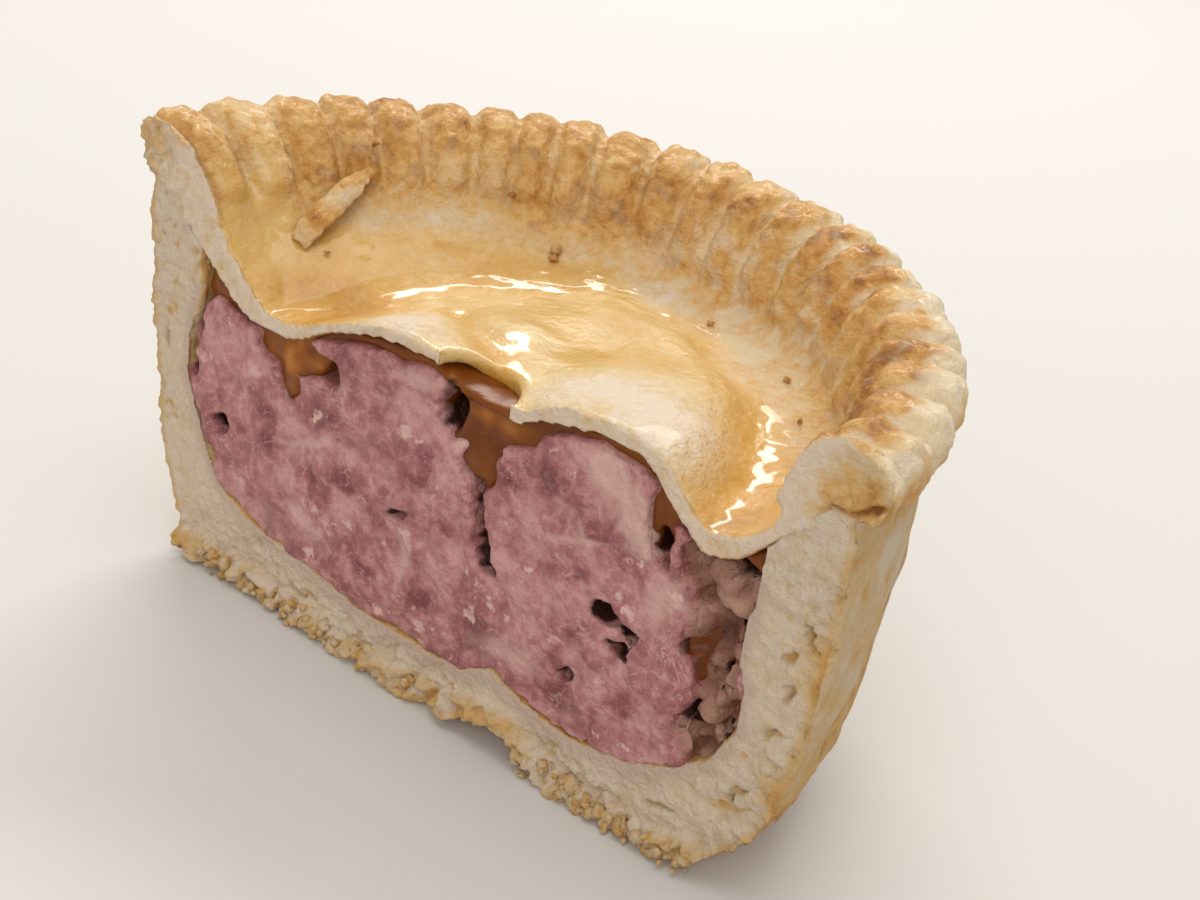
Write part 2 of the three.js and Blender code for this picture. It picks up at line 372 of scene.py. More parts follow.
# The cut face, and the ragged foot that the knife pushed out along its bottom edge.
ragged = 0.5 + 0.5 * lumps(np.stack([x, z * 2, z * 0], axis=1), 2.6, 9)
ragged = ragged + 0.35 * lumps(p, 1.3, 10) + 0.3 * lumps(p, 0.7, 16)
foot_top = FOOT_HEIGHT + 1.3 * lumps(np.stack([x, z * 0, z * 0], axis=1), 4.5, 11) + notch * 0.8
foot = ease(z, foot_top, foot_top - 1.6)
near_skin = ease(to_skin, 4.5, 1.5) * ease(x, -10, 30)
relief, gap_shade = crumb_relief(x, z, 0.8 + 1.0 * low + 0.4 * near_skin)
relief *= ease(to_filling, 0.3, 2.6) * 0.8 + 0.2
bend = [0.7 * lumps(p, 1.1, k) + 0.3 * lumps(p, 0.6, k + 2) for k in (18, 19)]
holes = inside(x + bend[0], z + bend[1], CASE_HOLES, 0.6, 17)
relief += HOLE_DEPTH * holes
gap_shade = np.maximum(gap_shade, 0.85 * holes)
ragged = np.clip(ragged, 0, 1)
front_edge = ease(y, 1.4, 0.3) * (1 - face)
p[:, 1] += face * (CUT + relief - foot * (0.35 + 1.75 * ragged))
p[:, 1] += front_edge * (CUT + relief - foot * (0.35 + 1.2 * ragged))
move_to(case, p)

# How brown each part is, with painted shade in the craters and in the gaps and holes of the cut,
# and where the filling's juices have soaked in.
fine_noise = lumps(p, 1.6, 13)
skin_bake_and_shade = 0.46 + 0.25 * lumps(p, 7, 12) + 0.12 * fine_noise + 0.18 * ease(z, 20, 4)
# The craters of the outside are painted darker: painted shade in their hollows.
skin_bake_and_shade += 0.2 * craters
# The gaps between crumbs and the holes of the cut face are painted darker: painted shade.
cut_bake_and_shade = 0.03 + 0.04 * fine_noise + 0.36 * ease(to_skin, 1.6, 0.2) + 0.42 * gap_shade
cut_bake_and_shade += 0.44 * foot * ease(lumps(p, 2.6, 64) + 0.4 * fine_noise, -0.6, 0.5)
cut_bake_and_shade += 0.34 * near_skin * ease(lumps(p, 4.2, 15), 0.0, 0.5)
note(case, "bake_and_shade", skin_bake_and_shade + (cut_bake_and_shade - skin_bake_and_shade) * face)
under = ease(z, 12, 7)
soaked_depth = 2.0 + 1.4 * under + 0.7 * fine_noise
note(case, "soaked", 0.8 * face * ease(to_filling, soaked_depth, 0.6))
flour = ease(lumps(p, 5, 14) + 0.7 * fine_noise, 0.1, 0.7) * outside * ease(x, -50, 20)
note(case, "flour", flour * 0.75)


def seen(*colour):
    """A colour as it looks, from 0 to 255, as the light values that a shader takes."""
    return (*(((c / 255 + 0.055) / 1.055) ** 2.4 for c in colour), 1)


def new_material(name):
    """A material, its nodes, and the shader among them."""
    material = bpy.data.materials.new(name)
    material.use_nodes = True
    shader = material.node_tree.nodes["Principled BSDF"]
    return material, material.node_tree, shader


def noted(tree, name):
    """The number that a piece keeps at each point, as a node's output."""
    node = tree.nodes.new("ShaderNodeAttribute")
    node.attribute_name = name
    return node.outputs["Fac"]


def ramp(tree, value, stops):
    """A colour for each value, from stops of a value and a colour."""
    node = tree.nodes.new("ShaderNodeValToRGB")
    elements = node.color_ramp.elements
    while len(elements) < len(stops):
        elements.new(0.5)
    for element, (place, colour) in zip(elements, stops):
        element.position = place
        element.color = colour
    tree.links.new(value, node.inputs["Fac"])
    return node.outputs["Color"]


def blend(tree, share, first, paint):
    """One colour turned into a second, plain or linked, by a share from 0 to 1."""
    node = tree.nodes.new("ShaderNodeMix")
    node.data_type = "RGBA"
    share_in, first_in, paint_in = node.inputs[0], node.inputs[6], node.inputs[7]
    tree.links.new(share, share_in)
    tree.links.new(first, first_in)
    if isinstance(paint, tuple):
        paint_in.default_value = paint
    else:
        tree.links.new(paint, paint_in)
    return node.outputs[2]


def sum_of(tree, how, first, second, third=0.5):
    """A sum of numbers or of nodes' outputs, worked out as the shader runs."""
    node = tree.nodes.new("ShaderNodeMath")
    node.operation = how
    for socket, value in zip(node.inputs, (first, second, third)):
        if isinstance(value, (int, float)):
            socket.default_value = value
        else:
            tree.links.new(value, socket)
    return node.outputs[0]


# The grain of baked dough: blotches of colour, fine flecks, and a height for the crumb.
GRAIN_SIZES = {"Blotch": (260, 5), "Fleck": (1000, 5), "Height": (1300, 7)}  # per metre, detail
GRAIN_ROUGHNESS = 0.62

grain = bpy.data.node_groups.new("dough_grain", "ShaderNodeTree")
grain.interface.new_socket("Scale", in_out="INPUT", socket_type="NodeSocketFloat")
for output in GRAIN_SIZES:
    grain.interface.new_socket(output, in_out="OUTPUT", socket_type="NodeSocketFloat")
grain_in = grain.nodes.new("NodeGroupInput")
grain_out = grain.nodes.new("NodeGroupOutput")
place = grain.nodes.new("ShaderNodeTexCoord")
for output, (fineness, detail) in GRAIN_SIZES.items():
    noise = grain.nodes.new("ShaderNodeTexNoise")
    noise.inputs["Detail"].default_value = detail
    noise.inputs["Roughness"].default_value = GRAIN_ROUGHNESS
    scale = sum_of(grain, "MULTIPLY", grain_in.outputs["Scale"], fineness)
    grain.links.new(scale, noise.inputs["Scale"])
    grain.links.new(place.outputs["Object"], noise.inputs["Vector"])
    grain.links.new(noise.outputs["Fac"], grain_out.inputs[output])


def add_grain(tree, scale):
    """The dough grain in a material, as the outputs that it gives."""
    node = tree.nodes.new("ShaderNodeGroup")
    node.node_tree = grain
    node.inputs["Scale"].default_value = scale
    return node.outputs


def add_bump(tree, height, strength, distance):
    """Normals for a height that is too fine for the mesh."""
    node = tree.nodes.new("ShaderNodeBump")
    node.inputs["Strength"].default_value = strength
    node.inputs["Distance"].default_value = distance
    tree.links.new(height, node.inputs["Height"])
    return node.outputs["Normal"]


def soften(shader, share, red_green_blue, reach):
    """Lets light into the surface, further in some colours than in others."""
    shader.inputs["Subsurface Weight"].default_value = share
    shader.inputs["Subsurface Radius"].default_value = red_green_blue
    shader.inputs["Subsurface Scale"].default_value = reach


# Colours of unglazed pastry, from raw dough to the brownest crust.
BAKED = [
    (0.0, seen(240, 218, 192)),
    (0.25, seen(232, 200, 152)),
    (0.5, seen(230, 183, 112)),
    (0.75, seen(208, 148, 72)),
    (1.0, seen(156, 98, 42)),
]

SOAKED = seen(218, 192, 170)
FLOUR = seen(236, 220, 194)

case_crust, tree, shader = new_material("case_crust")
grains = add_grain(tree, 1.0)
bake_and_shade = sum_of(tree, "MULTIPLY_ADD", grains["Blotch"], 0.5, -0.25)
bake_and_shade = sum_of(tree, "ADD", bake_and_shade, noted(tree, "bake_and_shade"))
flecks = sum_of(tree, "MULTIPLY_ADD", grains["Fleck"], 0.6, -0.3)
bake_and_shade = sum_of(tree, "ADD", bake_and_shade, flecks)
colour = ramp(tree, bake_and_shade, BAKED)
colour = blend(tree, noted(tree, "soaked"), colour, SOAKED)
colour = blend(tree, noted(tree, "flour"), colour, FLOUR)
tree.links.new(colour, shader.inputs["Base Color"])
shader.inputs["Roughness"].default_value = 0.78
soften(shader, 0.06, (1.0, 0.6, 0.35), 0.0008)
tree.links.new(add_bump(tree, grains["Height"], 1.0, 0.0012), shader.inputs["Normal"])
case.data.materials.append(case_crust)
into_frame(case)
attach(case, "root")
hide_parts("pastry_case")

# ---- The pork filling ---------------------------------------------------------------------
# Coarsely chopped cured pork, pressed into the case and cooked in it until it set in one pink
# mass. The knife shows the chunks, paler fat between them, and the places where it shrank
# away from the crust: those are filled with jelly, or left open as cracks and holes.

FILLING_TOP_RIGHT = [
    (37.6, 33), (36.2, 35.2), (33, 34.4), (30.5, 35.2), (28.2, 37.2), (26.2, 39), (24, 40.4),
    (19.7, 40.9), (15, 39.8), (10.4, 38.0), (6, 38.2), (3, 38.8), (0, 39.2),
]
FILLING_TOP_LEFT = [
    (38.6, 33), (36.4, 35.4), (33.4, 34.6), (30, 33.6), (27, 33.4), (24, 33.8), (22, 34.8),
    (19, 36.4), (16, 37.4), (12, 38.4), (8, 39.2), (4, 39.4), (0, 39.2),
]
# Ovals where jelly fills the cut face.
POCKETS = [
    (-23.6, 33.0, 6.4, 2.3, 2), (-24.4, 29.7, 1.3, 2.6, 8), (-9.5, 39.5, 7.5, 0.8, 6),
    (3.4, 36.6, 4.9, 3.4, 0), (7.6, 37.0, 4.2, 1.9, 28), (4.4, 31.6, 1.9, 2.9, 0),
    (27.2, 35.4, 1.5, 3.8, 12), (34.2, 33.0, 4.4, 2.6, -12), (35.0, 27.0, 3.4, 6.6, 0),
    (36.2, 20.2, 3.2, 4.6, 0), (35.2, 15.6, 3.2, 2.9, 0),
]
RIGHT_CAVITY = slice(7, None)  # those that make up the lumpy cavity at the right
# Ovals of redder, leaner meat, of one smooth round chunk, and of the paler fat.
LEAN = [
    (-20.0, 27.4, 4.0, 2.2, 10), (-27.6, 23.0, 2.0, 3.2, 14), (-20.6, 19.6, 2.0, 1.2, 0),
    (-10.7, 13.4, 2.0, 3.4, 20), (5.4, 12.4, 2.4, 2.2, 20), (16.2, 25.0, 5.0, 0.9, 20),
    (18.3, 10.9, 2.6, 1.7, 10), (11.3, 33.2, 3.0, 2.2, 20), (-14.2, 21.3, 2.2, 1.5, 10),
    (-1.1, 12.3, 2.4, 1.2, 10), (26.0, 14.6, 2.4, 1.6, 30),
]
ROUND_CHUNK = (30.0, 19.8, 3.9, 3.7, 0)
FAT_CHUNK = [(20.6, 37.9, 3.2, 2.2, -20), (24.4, 35.2, 2.5, 3.6, 30)]
FAT_STREAKS = [
    (-5, 15.5, 0.7, 4.5, -8), (17.6, 29.4, 3.2, 0.35, 18), (18.4, 30.4, 0.4, 1.8, 30),
    (-20, 23.4, 4.2, 0.5, 24), (10.4, 12.2, 4.6, 1.5, 10), (28.8, 28.0, 1.8, 3.4, -20),
    (-4.6, 37.6, 3.4, 1.1, 10), (1.6, 33.6, 1.0, 2.0, 0), (-20.4, 13.4, 3.4, 1.0, -20),
]
# Ovals where the cut face is open: cracks and holes, sunk and painted dark with painted shade.
OPENINGS = [
    (-39.0, 37.6, 0.9, 3.2, -12), (-38.9, 32.6, 0.8, 3.2, 14), (-40.1, 27.2, 0.6, 3.0, 10),
    (-6.0, 21.1, 1.7, 0.4, 22), (4.7, 26.6, 0.7, 2.6, 14), (5.6, 23.0, 1.0, 2.2, 12),
    (6.9, 20.6, 1.3, 0.7, -10), (-0.2, 36.6, 1.3, 2.6, 0), (22.2, 23.0, 1.6, 0.6, 8),
    (25.2, 22.3, 1.0, 0.5, -30), (24.4, 19.9, 1.6, 0.5, -8), (18.2, 13.7, 0.9, 0.55, 10),
    (-35.2, 19.4, 1.4, 1.2, 30), (-36.8, 14.8, 0.8, 0.8, 0), (36.4, 34.4, 1.9, 1.2, -20),
    (37.4, 29.6, 0.6, 2.6, 0), (36.0, 22.6, 0.9, 1.5, 20), (33.4, 17.4, 0.8, 1.7, -24),
    (37.3, 16.8, 0.6, 1.9, -20), (27.0, 33.6, 0.8, 1.4, 0),
]
FILLING_GAP = 0.3  # to the case, all round
FILLING_STEPS = 90
FILLING_CELLS = (0.5, 0.37)  # of its skin, before and after the hollows are pressed in
POCKET_DEPTH, CAVITY_DEPTH, OPENING_DEPTH = 3.4, 2.0, 5.2
FADE = 6  # how quickly the hollows lose their depth behind the cut
CHUNK_SIZE = 4.6
LUMP_SIZE = 2.9  # of the lumps in the cavity
MEAT_LUMPS = [(0.18, 2.4, 23), (0.12, 1.0, 24)]


def filling_outline(turn):
    case_inside = between(CASE_RIGHT[CASE_WALL_TOP + 1:], CASE_LEFT[CASE_WALL_TOP + 1:], turn)
    gap = FILLING_GAP
    under = [(r + (gap if r > 0 else 0), h - gap) for r, h in reversed(case_inside)]
    return under[:-1] + between(FILLING_TOP_RIGHT, FILLING_TOP_LEFT, turn)


def hollows(x, z):
    """From 0 to 1, how far a place of the cut is in a pocket, an opening, and the cavity."""
    pocket = inside(x, z, POCKETS, 0.12, 20)
    opening = inside(x, z, OPENINGS, 0.15, 24)
    return pocket, opening, inside(x, z, POCKETS[RIGHT_CAVITY], 0.2, 20)


filling = half_turned("pork", filling_outline, FILLING_STEPS)
fine_skin(filling, FILLING_CELLS[0])
p = points_of(filling)
x, y, z = p.T
pocket, opening, right_cavity = hollows(x, z)
pocket_depth = POCKET_DEPTH + (CAVITY_DEPTH - POCKET_DEPTH) * right_cavity
sunk = np.maximum(pocket * pocket_depth, opening * OPENING_DEPTH)
p[:, 1] += sunk * np.exp(-np.maximum(y, 0) / FADE)
move_to(filling, p)
fine_skin(filling, FILLING_CELLS[1])

# The chunks of the cut face and the seams between them, and the lumps that hang in the cavity.
p = points_of(filling)
n = outward_of(filling)
x, y, z = p.T
front = ease(y, 8, 6) * ease(n[:, 1], 0.2, -0.1)
pocket, opening, right_cavity = hollows(x, z)
away, pick = clumps(p, CHUNK_SIZE, 21)
bent = p + 0.7 * np.stack([lumps(p, 1.8, k) for k in (35, 36, 37)], axis=1)
small_away, small_pick = clumps(bent, LUMP_SIZE, 22)
chunk_edge = ease(away, 0.52, 0.75)
relief = mixed(p, MEAT_LUMPS) - 0.42 * chunk_edge + 0.12 * (pick - 0.5)
round_chunk = inside(x, z, [ROUND_CHUNK], 0.1, 39)
around_chunk = inside(x, z, [ROUND_CHUNK], 0.35, 39) - round_chunk
relief += round_chunk * (0.25 - relief) - 0.5 * around_chunk
balls = (2.3 * ease(small_away, 0.85, 0.25) - 0.9 + 0.35 * lumps(p, 1.2, 38)) * right_cavity
p += n * (front * (relief * (1 - 0.6 * right_cavity) + balls))[:, None]
p[:, 1] = np.maximum(p[:, 1] + CUT + 0.1, 0.12)
move_to(filling, p)

# How fat, how lean and how deep in colour each part is; the brown of its hollows, partly jelly
# lining and partly painted shade; and painted shade in the cracks, holes and between the cavity's
# lumps.
chunk_fat = inside(x, z, FAT_CHUNK, 0.3, 26)
streaks = inside(x, z, FAT_STREAKS, 0.6, 28)
lean = inside(x, z, LEAN, 0.5, 40)
fat = 0.35 * chunk_edge * ease(lumps(p, 3.2, 27), -0.1, 0.5) * (1 - 0.8 * lean)
fat = np.maximum.reduce([fat, 0.85 * chunk_fat, 0.65 * streaks]) * (1 - round_chunk)
note(filling, "fat", fat * (1 - pocket))
deep = 0.40 + 0.30 * (pick - 0.5) + 0.36 * lumps(p, 5.5, 29) + 0.30 * lumps(p, 1.8, 25)
deep += 0.40 * lean * (1 + 0.5 * lumps(p, 1.8, 25))
note(filling, "deep", deep + (0.55 - deep) * 0.8 * round_chunk)
# Pockets and openings are painted brown: the jelly lining them, and painted shade in their depth.
note(filling, "hollow", np.maximum(pocket, opening))
note(filling, "lump", right_cavity * ease(small_away, 0.7, 0.4) * (0.35 + 0.7 * small_pick))
# Painted shade between the lumps of the cavity, and inside the cracks and holes.
between_lumps = 0.7 * right_cavity * ease(small_away, 0.7, 0.95)
note(filling, "shade", np.maximum(ease(opening, 0.02, 0.4), between_lumps))

LEAN_TO_PALE = [
    (0.0, seen(204, 150, 148)),
    (0.35, seen(184, 122, 120)),
    (0.65, seen(158, 92, 94)),
    (1.0, seen(124, 60, 64)),
]
FAT_COLOUR = seen(216, 176, 164)
HOLLOW_LINING_AND_SHADE = seen(134, 86, 64)
LUMP_COLOUR = seen(188, 146, 126)
PAINTED_CRACK_SHADE = seen(58, 26, 16)
SINEWS = [(120, 0.009), (330, 0.014)]  # how many in a metre, and how wide

cured_pork, tree, shader = new_material("cured_pork")
grains = add_grain(tree, 0.9)
fleck = sum_of(tree, "MULTIPLY_ADD", grains["Fleck"], 2.0, -1.0)
tone = sum_of(tree, "ADD", noted(tree, "deep"), fleck)
colour = ramp(tree, tone, LEAN_TO_PALE)
pale = sum_of(tree, "MULTIPLY_ADD", grains["Fleck"], 1.4, -0.76)
pale = sum_of(tree, "MAXIMUM", pale, noted(tree, "fat"))
for fineness, width in SINEWS:
    sinew = tree.nodes.new("ShaderNodeTexNoise")
    sinew.inputs["Scale"].default_value = fineness
    sinew.inputs["Detail"].default_value = 5
    sinew.inputs["Distortion"].default_value = 1.2
    place = tree.nodes.new("ShaderNodeTexCoord")
    tree.links.new(place.outputs["Object"], sinew.inputs["Vector"])
    from_middle = sum_of(tree, "SUBTRACT", sinew.outputs["Fac"], 0.5)
    from_middle = sum_of(tree, "ABSOLUTE", from_middle, 0)
    line = sum_of(tree, "MULTIPLY_ADD", from_middle, -0.7 / width, 0.7)
    here = sum_of(tree, "MULTIPLY_ADD", grains["Blotch"], 4.0, -1.5)
    line = sum_of(tree, "MULTIPLY", line, here)
    pale = sum_of(tree, "MAXIMUM", pale, line)
colour = blend(tree, pale, colour, FAT_COLOUR)
colour = blend(tree, noted(tree, "hollow"), colour, HOLLOW_LINING_AND_SHADE)
colour = blend(tree, noted(tree, "lump"), colour, LUMP_COLOUR)
colour = blend(tree, noted(tree, "shade"), colour, PAINTED_CRACK_SHADE)
tree.links.new(colour, shader.inputs["Base Color"])
shader.inputs["Roughness"].default_value = 0.42
soften(shader, 0.15, (1.0, 0.35, 0.25), 0.0012)
tree.links.new(add_bump(tree, grains["Fleck"], 0.8, 0.0009), shader.inputs["Normal"])
filling.data.materials.append(cured_pork)
into_frame(filling)
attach(filling, "root")
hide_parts("pork_filling")

# ---- The jelly ----------------------------------------------------------------------------
# Pork stock that was poured in through the hole in the lid once the pie had cooled, and set:
# a thin brown layer over the filling, thick in the pockets, clear amber where it is thin.

JELLY_RIGHT = [
    (0, 33), (5, 28), (8, 33), (13, 38), (20, 39.6), (24.5, 38), (26, 32), (29, 32), (31, 30),
    (31.5, 22), (31.5, 15), (34.5, 12.6), (37.5, 16), (38.8, 21), (37.9, 27), (38.2, 32),
    (38.4, 38.2), (36, 36.8), (34, 35.9), (32, 35.8), (30, 37), (27.5, 39), (26, 40.6),
    (24, 41.6), (19.7, 41.8), (12.5, 40.4), (8, 39.3), (4, 39.0), (0, 39.4),
]
JELLY_LEFT = [
    (0, 33), (3, 37.5), (8, 38.3), (13, 37.6), (17, 36), (20, 31), (24, 26.5), (28, 30.5),
    (32, 32.5), (36, 33.5), (37.4, 30), (38.6, 26), (39.4, 23), (40.4, 25), (40.2, 28),
    (39.2, 32), (38.4, 39), (37, 38.6), (34.5, 37.0), (32, 35.5), (29.5, 34.8), (26, 34.8),
    (23.5, 35.0), (21.3, 35.9), (17.2, 38.3), (9.6, 39.9), (6.5, 40.2), (3, 40.2), (0, 39.4),
]

JELLY_STEPS = 90
JELLY_CELLS = (0.5, 0.45)
JELLY_DEPTH = 1.1  # how far the jelly has shrunk back from the cut
LEAST_DEPTH = 0.1
FILM = (3.0, 39.2, 5.2, 0.7, -3)  # an oval of skin that stayed under the steam hole
THIN_JELLY = [(-23.6, 33.2, 7, 2.6, 2), (6.0, 37.6, 4.0, 2.0, 20)]

jelly = half_turned("set_jelly", lambda t: between(JELLY_RIGHT, JELLY_LEFT, t), JELLY_STEPS)
fine_skin(jelly, JELLY_CELLS[0])
p = points_of(jelly)
x, y, z = p.T
opening, right_cavity = hollows(x, z)[1:]
sunk = JELLY_DEPTH + 0.6 * lumps(p, 4.0, 30) + 2.1 * right_cavity + opening * 4.2
film = inside(x, z, [FILM], 0.3, 33)
sunk = sunk * (1 - film) + LEAST_DEPTH * film
p[:, 1] += np.maximum(sunk, LEAST_DEPTH) * np.exp(-np.maximum(y, 0) / FADE)
p[:, 1] += CUT
move_to(jelly, p)
fine_skin(jelly, JELLY_CELLS[1])
p = points_of(jelly)
p += outward_of(jelly) * (0.12 * lumps(p, 1.6, 31))[:, None]
move_to(jelly, p)
x, y, z = p.T
thin = inside(x, z, THIN_JELLY, 0.4, 32)
note(jelly, "thin", thin * (0.22 + 0.4 * lumps(p, 1.5, 34)))
# The jelly inside cracks and holes is painted dark: painted shade.
note(jelly, "shade", ease(hollows(x, z)[1], 0.02, 0.4))

DARK_TO_AMBER = [(0.0, seen(104, 50, 12)), (0.5, seen(150, 86, 24)), (1.0, seen(190, 128, 52))]
JELLY_IN_SHADE = seen(48, 22, 14)

stock_jelly, tree, shader = new_material("stock_jelly")
grains = add_grain(tree, 0.8)
tone = sum_of(tree, "MULTIPLY_ADD", grains["Blotch"], 0.9, -0.3)
tone = sum_of(tree, "ADD", tone, noted(tree, "thin"))
colour = ramp(tree, tone, DARK_TO_AMBER)
colour = blend(tree, noted(tree, "shade"), colour, JELLY_IN_SHADE)
tree.links.new(colour, shader.inputs["Base Color"])
shader.inputs["Roughness"].default_value = 0.28
shader.inputs["Specular IOR Level"].default_value = 0.2
soften(shader, 0.1, (1.0, 0.5, 0.2), 0.003)
tree.links.new(add_bump(tree, grains["Blotch"], 0.3, 0.0006), shader.inputs["Normal"])
jelly.data.materials.append(stock_jelly)
into_frame(jelly)
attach(jelly, "root")
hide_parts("jelly")

# ---- The lid and its crimped edge ---------------------------------------------------------
# A sheet of the same dough laid over the filling. Its edge is pinched together with the top of
# the case, one finger's width at a time, and the top was brushed with egg before baking.
# The glaze lies in the low ring inside the crimps, over a sheet that sags between mounds.

LID_RIGHT = [
    (0, 40.4), (4, 40.2), (8, 39.0), (12.5, 40.0), (16, 40.7), (19.7, 41.3), (24, 41.2),
    (26, 40.2), (27.5, 38.6), (30, 36.6), (32, 35.4), (34, 35.5), (36, 36.6), (38.6, 39.0),
    (42, 42.5), (46.4, 45.2),
    (48.3, 45.7), (49.1, 46.7), (49.5, 48.2), (49.5, 49.5), (49.0, 50.7), (48.0, 51.6),
    (46.6, 52.0), (45.2, 51.95), (43.8, 51.5), (42.5, 50.5), (41.5, 48.9), (40.7, 47),
    (40.0, 45), (39.4, 43.2), (38.8, 41.4),
    (37.2, 39.7), (34.8, 38.4), (32.5, 38), (31, 38.4), (29.7, 39.3), (28, 40.9), (26, 42.1),
    (23, 42.8), (19.7, 43), (15.4, 42.8), (12.5, 42), (10.2, 41.2), (6, 41.3), (3, 41.7),
    (0, 41.9),
]
LID_LEFT = [
    (0, 40.4), (3, 40.4), (6.5, 40), (9.6, 39.6), (13.5, 38.9), (17.2, 38), (19.5, 36.8),
    (21.3, 35.6), (23.5, 34.7), (26, 34.5), (29.5, 34.5), (32, 35.3), (34.5, 37.2),
    (38.6, 40.4), (42, 42.8), (46.2, 45.3),
    (47.9, 46.2), (48.8, 47.6), (49.3, 49.4), (49.3, 50.8), (48.8, 52.1), (47.7, 52.9),
    (46.5, 53.0), (45.1, 52.7), (43.6, 52), (42.2, 51), (40.9, 49.9), (39.6, 48.6),
    (38.3, 47.1), (37.0, 45.4), (35.6, 43.5),
    (33.6, 41.4), (31, 39.2), (29.2, 37.7), (27.4, 36.6), (25, 36.4), (23, 36.8), (21.7, 37.4),
    (19, 38.5), (16, 39.5), (13, 40.4), (10.3, 41), (7, 41.4), (4, 41.6), (1.7, 41.8),
    (0, 41.9),
]
RIM_FROM, RIM_TO = 16, 30  # the points of the crimped edge, from the outer lip to the inside
RIM_MIDDLE = (45.2, 47.4)
LOBES = 24
LOBE_START = 1 / 3  # how far across a lobe the knife meets it at the right end
LOBE_STEPS = 14  # facets across one lobe, before the fine skin
LID_CELL = 0.394
GROOVE = 2.3  # how deep the finger pressed beside each lobe
TOE = 1.7  # how far the lower end of each lobe stands out of the lid
STEAM_HOLE = (2.9, 4.8)  # centre across the cut face, and radius
HOLE_SIDES = 32
# A soft fold in the sheet, seen from above.
TROUGH = [(-9, 11), (-4, 8.5), (1, 6), (6, 2.5), (9, 0)]
TROUGH_WIDTH, TROUGH_DEPTH = 2.0, 0.9
FAR_RISE = (2.6, 29.5, 6)  # the far part of the ring stands higher: rise, radius, spread
HOLLOW_END = (45.6, 47.4, 3.3, 3.4, 0)  # an oval at the near end of the rim, baked drier
# Crevices at the rim's cut end, sunk and painted darker with painted shade.
CREVICES = [(47.6, 46.9, 1.8, 0.35, 36), (44.4, 45.4, 1.2, 0.25, -15)]
CRIMP_LUMPS = [(0.24, 2.6, 41), (0.22, 1.2, 42)]
DULL_LUMPS = [(0.24, 2.2, 44), (0.12, 0.9, 45)]
# Where the sheet stands up or sinks: across, back, rise, spread, and how much browner it is.
SWELLS = [
    (22, 5, 0.9, 8.0, -0.58), (12, 4, 0.2, 5.5, -0.38), (-9, 3, 0.9, 5.5, -0.46),
    (-1, 12, 0.5, 3.0, -0.10), (4, 15, -0.9, 5.0, 0.02), (-20, 8, -0.7, 6.0, 0.12),
    (14, 20, -0.8, 7.0, -0.04), (-2, 26, 0.4, 6.0, 0.0), (32, 8, 0.0, 5.0, 0.14),
    (35, 2, -0.2, 3.5, 0.20),
]

fingers = random.Random(5)
lobe_size = [fingers.uniform(-1, 1) for _ in range(LOBES + 3)]
lobe_reach = [fingers.uniform(-1, 1) for _ in range(LOBES + 3)]


def crimped(turn, along):
    """How far a place on the rim is from the middle of its lobe, and the number of the lobe."""
    across = turn * LOBES / math.pi + LOBE_START + 0.30 * (along - 0.5)
    across = across + 0.13 * np.sin(5.3 * turn + 1) + 0.08 * np.sin(11.9 * turn)
    lobe = np.floor(across)
    return np.abs(2 * (across - lobe) - 1), lobe.astype(int) + 1


def lid_outline(turn):
    line = between(LID_RIGHT, LID_LEFT, turn)
    for i in range(RIM_FROM, RIM_TO + 1):
        along = (i - RIM_FROM) / (RIM_TO - RIM_FROM)
        from_middle, lobe = crimped(turn, along)
        groove = 1 - math.sqrt(1 - from_middle**2.6)
        r, h = line[i]
        away = math.hypot(r - RIM_MIDDLE[0], h - RIM_MIDDLE[1])
        depth = GROOVE * (0.3 + 0.7 * min(1, 3 * along)) * ease(along, 1.02, 0.86)
        press = groove * depth + 0.22 * lobe_size[lobe] - 0.1
        press = max(press, 0) if along < 0.6 else press
        end = 0.93 + 0.03 * lobe_reach[lobe]
        press -= TOE * ease(along, 0.4, 0.7) * ease(along, end + 0.04, end - 0.06) * (1 - groove)
        share = press / away
        line[i] = (r + (RIM_MIDDLE[0] - r) * share, h + (RIM_MIDDLE[1] - h) * share)
    return line


lid = half_turned("pie_lid", lid_outline, LOBES * LOBE_STEPS)
hole = bmesh.new()
centre, reach = STEAM_HOLE
bmesh.ops.create_cone(
    hole, cap_ends=True, segments=HOLE_SIDES, radius1=reach, radius2=reach, depth=20
)
bmesh.ops.translate(hole, verts=hole.verts, vec=(centre, 0, 40))
plug = bpy.data.objects.new("plug", bpy.data.meshes.new("plug"))
hole.to_mesh(plug.data)
hole.free()
bpy.context.scene.collection.objects.link(plug)
cutter = lid.modifiers.new("hole", "BOOLEAN")
cutter.operation = "DIFFERENCE"
cutter.object = plug
finished(lid)
bpy.data.objects.remove(plug)
fine_skin(lid, LID_CELL)

p = points_of(lid)
n = outward_of(lid)
x, y, z = p.T
radius = np.hypot(x, y)
face = ease(-n[:, 1], 0.4, 0.8) * ease(y, 0.45, 0.15)
rim = ease(radius, 37.5, 40.5) * ease(z, 38.5, 42.5)
sheet = ease(radius, 36, 28)
turn = np.arctan2(np.maximum(y, 0), x)
far_side = ease(turn, 0.35, 0.9) * ease(turn, 3.0, 2.5)
rise, middle, spread = FAR_RISE
ring = np.exp(-(((radius - middle) / spread) ** 2))
p[:, 2] += rise * far_side * ring * ease(radius, 39, 34)
browner = np.zeros(len(p))
for cx, cy, rise, spread, brown in SWELLS:
    near = np.exp(-((x - cx) ** 2 + (y - cy) ** 2) / spread**2)
    p[:, 2] += sheet * rise * near
    browner += brown * near
fold = np.exp(-((distance_to(TROUGH, x, y) / TROUGH_WIDTH) ** 2)) * sheet
p[:, 2] -= TROUGH_DEPTH * fold
browner += 0.26 * fold
powdery = ease(turn, 0.6, 1.0) * ease(turn, 1.8, 1.45)
